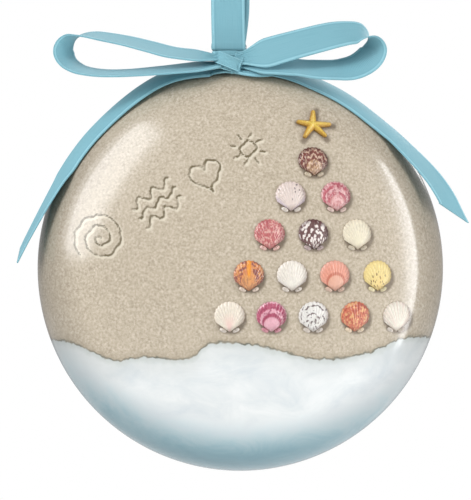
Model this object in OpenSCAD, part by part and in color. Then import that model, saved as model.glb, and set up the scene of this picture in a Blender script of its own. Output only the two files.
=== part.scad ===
// Hanging ball ornament: a flattened hollow ball in printed skins, with a tree of scallops and
// a starfish in low relief, a plug cap with a wire eye, and a ribbon tied in a bow.
// Millimetres. +Z is up and the front faces -Y. The origin is the inside top of the hanging
// loop, and the ball's own centre is straight below it.

/* [Ball] */
// Diameter of the ball, seen from the front
ball_d = 76.2; // [74:0.1:78]
// Depth of the ball, from front to back
ball_depth = 38; // [36:0.5:42]
// Radius of the rounded rim, across its section
rim_r = 12; // [11:0.5:13]
// Wall of the two moulded half shells
wall = 1.4; // [1:0.1:2]
// Thickness of the printed skins
skin = 0.3; // [0.2:0.05:0.4]
// Depth of the tongue that centres the two half shells
tongue_h = 1.2; // [0.8:0.1:1.6]

/* [Neck and cap] */
// Radius of the neck
neck_r = 4.2; // [4:0.1:4.4]
// Height of the neck above the top of the rim
neck_rise = 0.4; // [0.3:0.1:0.4]
// Radius of the neck's bore
bore_r = 2.7; // [2.5:0.1:3]
// Length of the cap's sleeve, which plugs into the bore
sleeve_l = 7; // [5:0.5:8]
// Wall of the cap's sleeve
sleeve_wall = 0.5; // [0.4:0.05:0.6]
// Clearance on a radius of each fit that moves
fit = 0.05; // [0.03:0.01:0.08]
// Diameter of the eye's wire
wire_d = 0.7; // [0.6:0.05:0.8]

/* [Ribbon] */
// Width of the ribbon
ribbon_w = 6.35; // [5:0.05:6.5]
// Thickness of the ribbon
ribbon_t = 0.4; // [0.3:0.05:0.4]
// Radius of the bow's knot
knot_r = 1.7; // [1.4:0.1:1.8]

/* [Relief] */
// Width of a scallop
scallop_w = 5.9; // [5:0.1:6.4]
// Height of a scallop over the skin
scallop_h = 1; // [0.7:0.1:1.2]
// Length of a starfish arm
arm_l = 3; // [2.5:0.1:3.4]
// Radius of a starfish arm at its root
arm_r = 0.75; // [0.6:0.05:0.9]
// Height of the starfish over the skin
star_h = 1; // [0.7:0.1:1.2]

/* [Hidden] */
$fn = 64;
// Overshoot of a cut past the face that it cuts
over = 1;
// Places across the front of the ball are measured from its centre
tree_x = 13.5;
row_z = [19.7, 13.25, 6.2, -1.45, -9];
row_pitch = [8.4, 8.4, 8.1, 7.95, 7.75];
star_at = [13.4, 26.6];
// Run of the starfish's top outward for each millimetre that it comes down
star_slope = 5.5;
last_row = len(row_z) - 1;

ball_r = ball_d / 2;
half_depth = ball_depth / 2;
// The section is a dome that runs tangent into the rim's arc: the rim's arc is centred at
// rim_c from the ball's axis, and they meet at meet_a from that axis
rim_c = ball_r - rim_r;
dome_r = (rim_c * rim_c + half_depth * half_depth - rim_r * rim_r)
    / (2 * (half_depth - rim_r));
meet_a = asin(rim_c / (dome_r - rim_r));

// Bar of the eye, and the ball's centre below it
bar_z = -90;
bar_rise = 3.9;
ball_z = bar_z - bar_rise - ball_r;
rim_top = ball_z + ball_r;

// The cap's plate lies over the neck, and its crown stands in the middle of the plate
plate_r = 4;
plate_gap = 0.1;
plate_t = 0.5;
crown_r = 2.4;
crown_t = 1;
crown_bevel = 0.2;
plate_z = rim_top + neck_rise + plate_gap;
// The eye's two legs stand leg_x from its axis in the crown's hole, and turn out by spread_a
// inside the sleeve, which stops them from pulling out
wire_r = wire_d / 2;
leg_x = 0.85;
hole_r = leg_x + wire_r + fit;
turn_r = 0.5;
spread_a = 5;
foot_run = sleeve_l - 2;

// The knot's length between its round ends, and the band from it round the foot of the eye
knot_half = 1.3;
knot_gap = 0.05;
band_h = 0.6;
band_gap = 0.2;
band_r = hole_r + 0.85;
band_w = 2.3;

// Ribbon across the rim: the middle of its width lies at drape_a from the ball's mid plane
drape_a = 23;
drape_gap = 0.2;
drape_r = rim_r + drape_gap + ribbon_t / 2;
drape_half = (ribbon_w / 2) / drape_r * 180 / PI;
flat_section = [for (y = [1, -1]) for (x = [-1 : 2 / 3 : 1])
    [y * x * ribbon_w / 2, y * ribbon_t / 2]];
drape_section = [for (y = [1, -1]) for (x = [-1 : 2 / 3 : 1])
    let (r = drape_r + y * ribbon_t / 2)
    [r * sin(y * x * drape_half), r * cos(x * drape_half) - drape_r]];

// Routes of the ribbon. The hanging loop is measured from the origin
loop_route = [
    [-2.2, -0.6, -89.2], [-2.3, -0.7, -84], [-2.3, -0.8, -78], [-2, -1.2, -69],
    [-1.6, -1.8, -59], [-1.3, -2.6, -49], [-1, -3.6, -39], [-0.7, -4.7, -29],
    [-0.4, -5.7, -19], [-0.2, -6.2, -12], [-0.1, -5.9, -7], [0, -4.7, -3], [0, -2.6, -0.6],
    [0, 0, 0.2],
    [0, 2.6, -0.6], [0, 4.7, -3], [-0.1, 5.9, -7], [-0.2, 6.2, -12], [-0.4, 5.7, -19],
    [-0.7, 4.7, -29], [-1, 3.6, -39], [-1.3, 2.6, -49], [-1.1, 1.8, -59], [-1.2, 1.2, -69],
    [-1.4, 0.8, -78], [-1.5, 0.7, -84], [-2, 0.6, -89.2]];
// The bow is measured from the ball's centre
knot_at = [-1.9, -6.8, 38.6];
left_route = [
    [-3.4, -6.8, 39.2], [-6, -6.8, 39.5], [-9, -6.8, 39.8], [-13, -6.8, 40.3], [-17, -6.8, 41.3],
    [-21, -6.8, 42.3], [-25, -6.8, 43.1], [-27.8, -6.8, 43.5], [-30, -6.8, 43.4],
    [-31.6, -6.8, 42.8], [-32.7, -6.9, 41.5], [-32.9, -7, 39.9], [-32, -7.1, 38.4],
    [-30.3, -7.2, 37.3], [-28.2, -7.3, 36.7], [-25.4, -7.4, 36.4], [-22, -7.5, 36.4],
    [-18.5, -7.6, 36.6], [-15, -7.6, 36.9], [-11, -7.6, 37.3], [-7, -7.5, 37.7],
    [-3.4, -7.2, 38]];
right_route = [
    [-0.4, -7.5, 39.1], [2, -7.7, 39.5], [4.6, -7.9, 40.1], [8, -8.1, 41.1], [12, -8.2, 42.2],
    [16, -8.3, 43.2], [18.6, -8.3, 43.7], [20.8, -8.2, 43.9], [22.8, -8.2, 43.7],
    [24.3, -8.2, 42.8], [24.9, -8.1, 41.3], [24.4, -8.1, 39.7], [23, -8, 38.4],
    [21.2, -8, 37.5], [19, -7.9, 37.1], [16.4, -7.9, 37], [13, -7.7, 37.2],
    [9.6, -7.5, 37.6], [6, -7.2, 37.9], [2.6, -6.8, 38.1], [-0.4, -6.4, 38.2]];
// Direction of a bow loop's width at its start, halfway and at its end
left_sides = [[0.3, 0.9, 0.38], [0.58, 0.8, 0.05], [0.3, 0.9, 0.38]];
right_sides = [[-0.7, 0.39, 0.6], [-0.58, 0.55, 0.45], [-0.6, 0.5, 0.33]];
left_start = [[-2, -6.2, 37.2], [-3.6, -5.8, 37.4]];
left_end = [[-34.2, -5.4, 16], [-36.2, -5.2, 12.4], [-38.2, -5, 8.6], [-40, -4.8, 5.2],
    [-41.4, -4.7, 2.4]];
right_start = [[-1, -6.4, 37.2], [2.2, -6.5, 37.2]];
right_end = [[31.6, -5.5, 22], [34, -5.6, 19.4], [36.3, -5.7, 16.6], [38.4, -5.9, 13.4],
    [39.9, -6, 10.3]];
// The tails lie on the rim between these angles, counted from +X
left_drape = [98 : 5.2 : 150];
right_drape = [82 : -4.2 : 40];
// How far a tail's slack stands off the rim, by the angle
left_lift = [[98, 0.25], [108, 0.95], [114, 0.95], [126, 0.25], [132, 0]];
right_lift = [[40, 0.6], [46, 0.15], [50, 0], [68, 0], [76, 0.4]];
// Turn of a tail's width from point to point beyond the rim
left_turn = 0.35;
right_turn = -0.075;
// Width of the ribbon where it is gathered into the knot, as a share of its full width, at
// the first points of its route
gather = [[0, 0.4], [1, 0.7], [2, 1]];
// Rings on each stretch of a bow loop
loop_steps = 3;

function scallop_name(row, col) = str("scallop_", row + 1, "_", col + 1);
function unit(v) = v / norm(v);
function raised(points) = [for (p = points) p + [0, 0, ball_z]];

// Middle of the draped ribbon at the angle a round the rim, and the direction of its width
function drape_at(a, lift) = let (r = rim_c + drape_r * cos(drape_a) + lift)
    [r * cos(a), -drape_r * sin(drape_a), r * sin(a)];
function drape_side(a) =
    [sin(drape_a) * cos(a), cos(drape_a), sin(drape_a) * sin(a)];

// Points on a smooth curve through p, with so many steps to each of its stretches
function smooth(p, steps) = concat([for (i = [0 : len(p) - 2], k = [0 : steps - 1])
    let (a = p[max(i - 1, 0)], b = p[i], c = p[i + 1], d = p[min(i + 2, len(p) - 1)], t = k / steps)
    b + (c - a + (2 * a - 5 * b + 4 * c - d + (3 * b - a - 3 * c + d) * t) * t) * t / 2],
    [p[len(p) - 1]]);

// Direction between three: the first at f = 0, the second at f = 1/2 and the third at f = 1
function turned(sides, f) = let (k = f < 0.5 ? 0 : 1, t = 2 * f - k)
    sides[k] * (1 - t) + sides[k + 1] * t;

// Shares of the full width at n rings, steps to a stretch: gathered at the start, and at the
// end too if both ends go into the knot
function widths(n, steps, both) = [for (i = [0 : n - 1])
    lookup((both ? min(i, n - 1 - i) : i) / steps, gather)];

// Rings of a ribbon along a route; sides holds the direction of its width at each point
function ribbon_rings(route, sides, wide, section) = [for (i = [0 : len(route) - 1])
    let (t = unit(route[min(i + 1, len(route) - 1)] - route[max(i - 1, 0)]),
         w = unit(sides[i] - t * (sides[i] * t)),
         n = cross(t, w))
    [for (q = section) route[i] + w * q[0] * wide[i] + n * q[1]]];

// Solid through rings of eight points, four along one face and four back along the other
module skin_rings(rings) {
    n = 8;
    last = (len(rings) - 1) * n;
    end_faces = [for (i = [0 : 2]) each [[i, i + 1, 6 - i], [i, 6 - i, 7 - i]]];
    faces = concat(
        end_faces,
        [for (f = end_faces) [for (i = [2, 1, 0]) f[i] + last]],
        [for (k = [0 : n : last - n]) for (i = [0 : n - 1]) let (j = (i + 1) % n)
            each [[k + i, k + n + i, k + j], [k + j, k + n + i, k + n + j]]]);
    polyhedron([for (r = rings) each r], faces);
}

// Half section of the ball at a depth t under its surface: the dome as far as the line where
// it meets the rim's arc, and the arc beyond it
module half_section(t) {
    meet = [rim_c + ball_r * sin(meet_a), ball_r * cos(meet_a)];
    intersection() {
        translate([0, half_depth - dome_r]) circle(r = dome_r - t);
        polygon([[0, 0], [rim_c, 0], meet, [0, meet[1]]]);
    }
    intersection() {
        translate([rim_c, 0]) circle(r = rim_r - t);
        polygon([[rim_c, 0], [rim_c + ball_r, 0], [rim_c + ball_r, meet[1]], meet]);
    }
}

module neck_rod(r) {
    translate([0, 0, rim_c]) cylinder(r = r, h = rim_r + neck_rise);
}

// Half of the neck, on the side of y that faces the front shell
module front_neck() {
    intersection() {
        translate([0, 0, ball_r - wall * 3]) cylinder(r = neck_r, h = wall * 3 + neck_rise);
        translate([-ball_r, -ball_r, 0]) cube([ball_d, ball_r, ball_d]);
    }
}

// Section of the shell's wall, and of the tongue that runs into the front shell's rebate
module wall_section() {
    difference() {
        half_section(skin);
        half_section(skin + wall);
    }
}

module tongue_section() {
    intersection() {
        wall_section();
        translate([rim_c, 0]) square([rim_r - skin - wall / 2, tongue_h]);
    }
}

// Puts a section round the ball's axis, cuts it out for the neck and adds half of the neck
module with_neck() {
    difference() {
        union() {
            difference() {
                rotate([90, 0, 0]) rotate_extrude() children();
                neck_rod(neck_r);
            }
            front_neck();
        }
        translate([0, 0, -over]) neck_rod(bore_r);
        translate([0, 0, over]) neck_rod(bore_r);
    }
}

module front_shell() {
    color("gainsboro") translate([0, 0, ball_z]) with_neck() difference() {
        wall_section();
        tongue_section();
    }
}

module rear_shell() {
    color("gainsboro") translate([0, 0, ball_z]) mirror([0, 1, 0]) with_neck() union() {
        wall_section();
        mirror([0, 1]) tongue_section();
    }
}

module half_print() {
    difference() {
        rotate([90, 0, 0]) rotate_extrude() difference() {
            half_section(0);
            half_section(skin);
        }
        neck_rod(neck_r);
    }
}

module front_print() {
    color("tan") translate([0, 0, ball_z]) half_print();
}

module rear_print() {
    color("tan") translate([0, 0, ball_z]) mirror([0, 1, 0]) half_print();
}

// Puts its children on the front dome at (x, z), with +Z outward and +Y up the ball
module on_dome(x, z) {
    lift = asin(z / dome_r);
    turn = asin(x / dome_r / cos(lift));
    translate([0, dome_r - half_depth, ball_z]) rotate([0, 0, turn]) rotate([90 - lift, 0, 0])
        translate([0, 0, dome_r]) children();
}

// Cuts its children off at the dome's surface
module seated() {
    difference() {
        children();
        translate([0, 0, -dome_r]) sphere(r = dome_r, $fn = 180);
    }
}

// Outline of a scallop, in shares of its width: a fan above, and the ears' square below
module fan_outline() {
    hull() {
        translate([0, 0.04 * scallop_w]) circle(r = 0.47 * scallop_w, $fn = 32);
        translate([0, -0.38 * scallop_w]) circle(r = 0.08 * scallop_w, $fn = 24);
    }
    translate([-0.24 * scallop_w, -0.42 * scallop_w])
        square([0.48 * scallop_w, 0.14 * scallop_w]);
}

module scallop(row, col) {
    crown = 0.7 * scallop_h;
    round_r = (pow(scallop_w / 2, 2) + crown * crown) / (2 * crown);
    color(row == 2 ? "indianred" : row == 3 ? "orange" : "linen")
    on_dome(tree_x + (col - row / 2) * row_pitch[row], row_z[row]) seated() intersection() {
        translate([0, 0, -over]) linear_extrude(scallop_h + 2 * over) fan_outline();
        translate([0, 0, scallop_h - round_r]) sphere(r = round_r, $fn = 72);
    }
}

// Five arms under a low cone, so that they thin out towards their tips
module starfish() {
    color("goldenrod") on_dome(star_at[0], star_at[1]) seated() intersection() {
        translate([0, 0, -over]) linear_extrude(star_h + 2 * over)
            for (a = [0 : 72 : 359]) rotate(a) hull() {
                circle(r = arm_r, $fn = 32);
                translate([0, arm_l]) circle(r = arm_r / 2, $fn = 24);
            }
        translate([0, 0, -over]) cylinder(
            r1 = (star_h + over) * star_slope, r2 = 0, h = star_h + over, $fn = 72);
    }
}

module cap() {
    sleeve_r = bore_r - fit;
    color("silver") rotate_extrude() polygon([
        [hole_r, plate_z], [sleeve_r - sleeve_wall, plate_z],
        [sleeve_r - sleeve_wall, plate_z - sleeve_l], [sleeve_r, plate_z - sleeve_l],
        [sleeve_r, plate_z], [plate_r, plate_z], [plate_r, plate_z + plate_t],
        [crown_r, plate_z + plate_t], [crown_r - crown_bevel, plate_z + crown_t],
        [hole_r, plate_z + crown_t]]);
}

// Round wire that runs up +Z and turns: each step is a straight length, and then a turn
// towards +X in degrees
module wire(steps) {
    run = steps[0][0];
    turn = steps[0][1];
    cylinder(r = wire_r, h = run, $fn = 24);
    if (len(steps) > 1) translate([0, 0, run]) mirror([turn > 0 ? 1 : 0, 0, 0]) {
        translate([-turn_r, 0, 0]) {
            rotate([90, 0, 0]) rotate_extrude(angle = abs(turn))
                translate([turn_r, 0]) circle(r = wire_r, $fn = 24);
            rotate([0, -abs(turn), 0]) translate([turn_r, 0, 0]) mirror([turn > 0 ? 1 : 0, 0, 0])
                wire([for (i = [1 : len(steps) - 1]) steps[i]]);
        }
    }
}

// A bar across the top, and two legs through the crown's hole that spread below it
module eye_wire() {
    color("silver") for (side = [0, 1]) translate([0, 0, bar_z]) mirror([side, 0, 0])
        rotate([0, 90, 0]) wire([[leg_x - turn_r, 90],
            [bar_z - turn_r - plate_z, -spread_a], [foot_run, 0]]);
}

// The knot, and the ribbon from it that is tied in a band round the foot of the eye
module bow_knot() {
    band_z = plate_z + crown_t + knot_gap - ball_z;
    color("skyblue") translate([0, 0, ball_z]) {
        translate(knot_at) {
            for (side = [-1, 1]) translate([side * knot_half, 0, 0]) sphere(r = knot_r);
            translate([-knot_half, 0, 0]) rotate([0, 90, 0])
                cylinder(r = knot_r, h = 2 * knot_half);
        }
        difference() {
            translate([0, 0, band_z]) {
                cylinder(r = band_r, h = band_h);
                translate([-band_r, knot_at[1], 0]) cube([band_w, -knot_at[1], band_h]);
            }
            translate([0, 0, band_z - over])
                cylinder(r = hole_r + band_gap, h = band_h + 2 * over);
        }
    }
}

module hanging_ribbon() {
    color("skyblue") skin_rings(ribbon_rings(
        loop_route, [for (p = loop_route) [1, 0, 0]], [for (p = loop_route) 1], flat_section));
}

module bow_loop(route, sides) {
    line = smooth(raised(route), loop_steps);
    last = len(line) - 1;
    color("skyblue") skin_rings(ribbon_rings(
        line, [for (i = [0 : last]) turned(sides, i / last)],
        widths(last + 1, loop_steps, true), flat_section));
}

module bow_loop_left() {
    bow_loop(left_route, left_sides);
}

module bow_loop_right() {
    bow_loop(right_route, right_sides);
}

// A tail: out of the knot, round the rim between two angles, and off it to its free end.
// across is 1 or -1, so that the hollow of its section faces the ball
module ribbon_tail(start, angles, lift, end, turn, across) {
    turns = [for (a = angles) a];
    route = raised(concat(start, [for (a = turns) drape_at(a, lookup(a, lift))], end));
    sides = concat([for (p = start) across * drape_side(90)],
        [for (a = turns) across * drape_side(a)],
        [for (i = [1 : len(end)]) across * unit(
            drape_side(turns[len(turns) - 1]) + [0, turn * i, 0])]);
    color("skyblue") skin_rings(ribbon_rings(
        route, sides, widths(len(route), 1, false), drape_section));
}

module ribbon_tail_left() {
    ribbon_tail(left_start, left_drape, left_lift, left_end, left_turn, -1);
}

module ribbon_tail_right() {
    ribbon_tail(right_start, right_drape, right_lift, right_end, right_turn, 1);
}

hanging_ribbon();
eye_wire();
cap();
bow_knot();
bow_loop_left();
bow_loop_right();
ribbon_tail_left();
ribbon_tail_right();
front_shell();
rear_shell();
front_print();
rear_print();
starfish();
for (row = [0 : last_row]) for (col = [0 : row])
    scallop(row, col);
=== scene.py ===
"""Looks of a souvenir ball ornament: printed sand and surf, shells in relief and a satin bow."""

import math

import bpy
import numpy as np
from mathutils import Matrix, Vector


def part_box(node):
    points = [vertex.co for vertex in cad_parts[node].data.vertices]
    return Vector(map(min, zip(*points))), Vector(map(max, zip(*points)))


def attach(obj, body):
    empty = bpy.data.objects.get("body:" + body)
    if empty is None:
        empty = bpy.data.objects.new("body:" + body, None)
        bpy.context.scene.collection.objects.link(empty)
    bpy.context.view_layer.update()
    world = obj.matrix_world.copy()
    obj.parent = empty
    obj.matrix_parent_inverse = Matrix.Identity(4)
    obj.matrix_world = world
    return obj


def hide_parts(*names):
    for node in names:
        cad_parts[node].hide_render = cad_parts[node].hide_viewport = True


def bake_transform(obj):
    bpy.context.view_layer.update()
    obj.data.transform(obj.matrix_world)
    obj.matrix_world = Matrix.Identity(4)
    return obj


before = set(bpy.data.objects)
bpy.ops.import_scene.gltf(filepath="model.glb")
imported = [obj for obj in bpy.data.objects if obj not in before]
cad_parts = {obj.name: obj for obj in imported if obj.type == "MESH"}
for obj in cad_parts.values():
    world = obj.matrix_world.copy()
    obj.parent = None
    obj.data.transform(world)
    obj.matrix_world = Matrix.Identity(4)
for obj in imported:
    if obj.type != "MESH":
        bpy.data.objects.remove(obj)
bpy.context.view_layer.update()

# Sizes in metres, in the frame of the CAD model. The ball's centre is CENTRE
MM = 0.001
PRINT_LOW, PRINT_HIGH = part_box("front_print")
BALL_R = (PRINT_HIGH.x - PRINT_LOW.x) / 2
HALF_DEPTH = PRINT_HIGH.y - PRINT_LOW.y
CENTRE = Vector((0, 0, (PRINT_LOW.z + PRINT_HIGH.z) / 2))
SKIN = 0.0003       # thickness of the printed skin
NECK_R = 0.0042     # the hole that the skin leaves for the neck

# The ball's section is a shallow dome that meets a tight arc at the rim
RIM_R = 0.012
RIM_C = BALL_R - RIM_R
DOME_R = (RIM_C ** 2 + HALF_DEPTH ** 2 - RIM_R ** 2) / (2 * (HALF_DEPTH - RIM_R))
MEET_A = math.asin(RIM_C / (DOME_R - RIM_R))
DOME_RUN = DOME_R * MEET_A
RUN = DOME_RUN + RIM_R * (math.pi / 2 - MEET_A)

# The satin ribbon, and the arc on which its tails lie over the rim
RIBBON_W = 0.00635
RIBBON_T = 0.0003
DRAPE_A = math.radians(23)
DRAPE_R = 0.0124


# ---------------------------------------------------------------- camera and light

VIEW_FROM = 1.0         # metres in front of the ball
VIEW_SHIFT = (-0.0009, 0.0034)
FRAME_HIGH = 0.094      # what the camera takes in at that distance
SENSOR = 36
DAYLIGHT = (0.97, 0.98, 1)
WORLD_STRENGTH = 0.38
FLOOR_DROP = 0.33
FLOOR_GLOW = 0.34


def make_camera():
    data = bpy.data.cameras.new("camera")
    data.sensor_width = SENSOR
    data.lens = SENSOR * VIEW_FROM / FRAME_HIGH
    data.clip_start = 0.01
    camera = bpy.data.objects.new("camera", data)
    camera.location = CENTRE + Vector((VIEW_SHIFT[0], -VIEW_FROM, VIEW_SHIFT[1]))
    camera.rotation_euler = (math.pi / 2, 0, 0)
    bpy.context.collection.objects.link(camera)
    bpy.context.scene.camera = camera


def softbox(name, off_axis, turn, away, size, radiance, colour=(1, 1, 1)):
    """A rectangular light that faces the ball from away metres: off_axis degrees from -Y, and
    turned round that axis from +X."""
    b, a = math.radians(off_axis), math.radians(turn)
    out = Vector((math.sin(b) * math.cos(a), -math.cos(b), math.sin(b) * math.sin(a)))
    over = Vector((math.cos(b) * math.cos(a), math.sin(b), math.cos(b) * math.sin(a)))
    data = bpy.data.lights.new(name, "AREA")
    data.shape = "RECTANGLE"
    data.size, data.size_y = size
    data.energy = radiance * math.pi * size[0] * size[1]
    data.color = colour
    light = bpy.data.objects.new(name, data)
    turned = Matrix((over, out.cross(over), out)).transposed().to_4x4()
    light.matrix_world = Matrix.Translation(CENTRE + out * away) @ turned
    light.visible_camera = False
    bpy.context.collection.objects.link(light)
    return light


def make_lights():
    """Softboxes that show as the ball's highlights, a key that doesn't show, and one behind."""
    softbox("left_softbox", 60.5, 149, 0.6, (0.18, 0.52), 8, DAYLIGHT)
    softbox("left_edge_softbox", 74.5, 149, 0.6, (0.11, 0.52), 2.6, DAYLIGHT)
    softbox("right_softbox", 66, 5, 0.6, (0.13, 0.68), 10.5, DAYLIGHT)
    softbox("key", 52, 122, 0.9, (0.09, 0.09), 42).visible_glossy = False
    softbox("back_softbox", 140, 60, 0.8, (0.5, 0.5), 3.5)


def make_world():
    """White to the camera, and a dim even light on the object."""
    world = bpy.data.worlds.new("studio")
    bpy.context.scene.world = world
    world.use_nodes = True
    tree = world.node_tree
    tree.nodes.clear()
    path = tree.nodes.new("ShaderNodeLightPath")
    seen = tree.nodes.new("ShaderNodeBackground")
    lit = tree.nodes.new("ShaderNodeBackground")
    seen.inputs["Color"].default_value = (1, 1, 1, 1)
    lit.inputs["Color"].default_value = DAYLIGHT + (1,)
    lit.inputs["Strength"].default_value = WORLD_STRENGTH
    mix = tree.nodes.new("ShaderNodeMixShader")
    out = tree.nodes.new("ShaderNodeOutputWorld")
    tree.links.new(path.outputs["Is Camera Ray"], mix.inputs[0])
    tree.links.new(lit.outputs[0], mix.inputs[1])
    tree.links.new(seen.outputs[0], mix.inputs[2])
    tree.links.new(mix.outputs[0], out.inputs["Surface"])
    bpy.context.scene.view_settings.view_transform = "Standard"


# ---------------------------------------------------------------- shaders

def srgb(r, g, b):
    """Linear colour of an sRGB one given from 0 to 255."""
    def linear(c):
        c /= 255
        return c / 12.92 if c <= 0.04045 else ((c + 0.055) / 1.055) ** 2.4
    return (linear(r), linear(g), linear(b), 1)


class Shader:
    """A material on one Principled shader, and short calls for the nodes that feed it."""

    def __init__(self, name, **constants):
        self.material = bpy.data.materials.new(name)
        self.material.use_nodes = True
        self.tree = self.material.node_tree
        self.shader = next(n for n in self.tree.nodes if n.type == "BSDF_PRINCIPLED")
        for key, value in constants.items():
            self.shader.inputs[key.replace("_", " ")].default_value = value

    def put(self, kind, inputs, **props):
        node = self.tree.nodes.new("ShaderNode" + kind)
        for key, value in props.items():
            setattr(node, key, value)
        for key, value in inputs.items():
            if isinstance(value, bpy.types.NodeSocket):
                self.tree.links.new(value, node.inputs[key])
            elif value is not None:
                node.inputs[key].default_value = value
        return node

    def math(self, operation, a, b=None, c=None, clamp=False):
        inputs = {0: a, 1: b, 2: c}
        return self.put("Math", inputs, operation=operation, use_clamp=clamp).outputs[0]

    def times(self, a, b):
        return self.math("MULTIPLY", a, b)

    def step(self, value, low, high):
        """0 at low and 1 at high, whichever is the larger, with a smooth stretch between them."""
        inputs = {"Value": value, "From Min": low, "From Max": high}
        return self.put("MapRange", inputs, interpolation_type="SMOOTHSTEP").outputs[0]

    def mix(self, factor, a, b, blend="MIX"):
        inputs = {0: factor, 6: a, 7: b}
        node = self.put("Mix", inputs, data_type="RGBA", blend_type=blend, clamp_factor=True)
        return node.outputs[2]

    def over(self, base, colour, area, strength):
        """base with colour over it where area is 1, at this strength."""
        return self.mix(self.times(area, strength), base, colour)

    def ramp(self, value, *stops):
        """stops are (place, colour) pairs."""
        node = self.put("ValToRGB", {0: value})
        marks = node.color_ramp.elements
        while len(marks) < len(stops):
            marks.new(0.5)
        for mark, (place, colour) in zip(marks, stops):
            mark.position, mark.color = place, colour
        return node.outputs[0]

    def noise(self, vector, scale, detail=3, rough=0.55, distortion=0):
        inputs = {"Vector": vector, "Scale": scale, "Detail": detail, "Roughness": rough,
                  "Distortion": distortion}
        return self.put("TexNoise", inputs).outputs[0]

    def cells(self, vector, scale):
        return self.put("TexVoronoi", {"Vector": vector, "Scale": scale}).outputs["Distance"]

    def stretch(self, vector, scale):
        return self.put("Mapping", {"Vector": vector, "Scale": scale}).outputs[0]

    def attribute(self, name, output="Fac"):
        return self.put("Attribute", {}, attribute_name=name).outputs[output]

    def split(self, vector):
        return self.put("SeparateXYZ", {0: vector}).outputs

    def object_place(self):
        return self.put("TexCoord", {}).outputs["Object"]

    def colour(self, socket):
        self.tree.links.new(socket, self.shader.inputs["Base Color"])

    def roughness(self, socket):
        self.tree.links.new(socket, self.shader.inputs["Roughness"])

    def bump(self, height, distance, strength):
        inputs = {"Height": height, "Distance": distance, "Strength": strength}
        node = self.put("Bump", inputs)
        self.tree.links.new(node.outputs[0], self.shader.inputs["Normal"])


WEFT = 0.00028      # metres of ribbon to one weft thread
WARPS = 60          # radians of warp from the middle to an edge


def satin():
    """Woven satin ribbon. The attribute strip holds (-1 to 1 across, metres along, 0)."""
    s = Shader("ribbon_satin", Sheen_Weight=0.08, Sheen_Roughness=0.4, Specular_IOR_Level=0.25)
    strip = s.attribute("strip", "Vector")
    across, along, _ = s.split(strip)
    side = s.math("ABSOLUTE", across)
    streaks = s.noise(s.stretch(strip, (9, 60, 1)), 3, 4, 0.6)
    cloudy = s.noise(s.stretch(strip, (1, 110, 1)), 1.5, 2)
    base = s.ramp(streaks, (0.25, srgb(115, 166, 179)), (0.75, srgb(131, 180, 191)))
    base = s.mix(s.step(cloudy, 0.35, 0.7), base, srgb(125, 174, 186))
    edge = s.times(s.step(side, 0.8, 0.86), s.step(side, 0.97, 0.93))
    base = s.over(base, srgb(150, 200, 211), edge, 0.75)
    line = s.times(s.step(side, 0.72, 0.76), s.step(side, 0.82, 0.78))
    base = s.over(base, srgb(100, 152, 168), line, 0.35)
    s.colour(base)
    wefts = s.math("SINE", s.times(along, 2 * math.pi / WEFT))
    warps = s.math("SINE", s.times(across, WARPS))
    weave = s.math("MULTIPLY_ADD", warps, 0.35, wefts)
    weave = s.math("MULTIPLY_ADD", streaks, 2.5, weave)
    s.bump(weave, 0.000012, 0.5)
    s.roughness(s.math("MULTIPLY_ADD", streaks, 0.2, 0.5))
    return s.material


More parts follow.
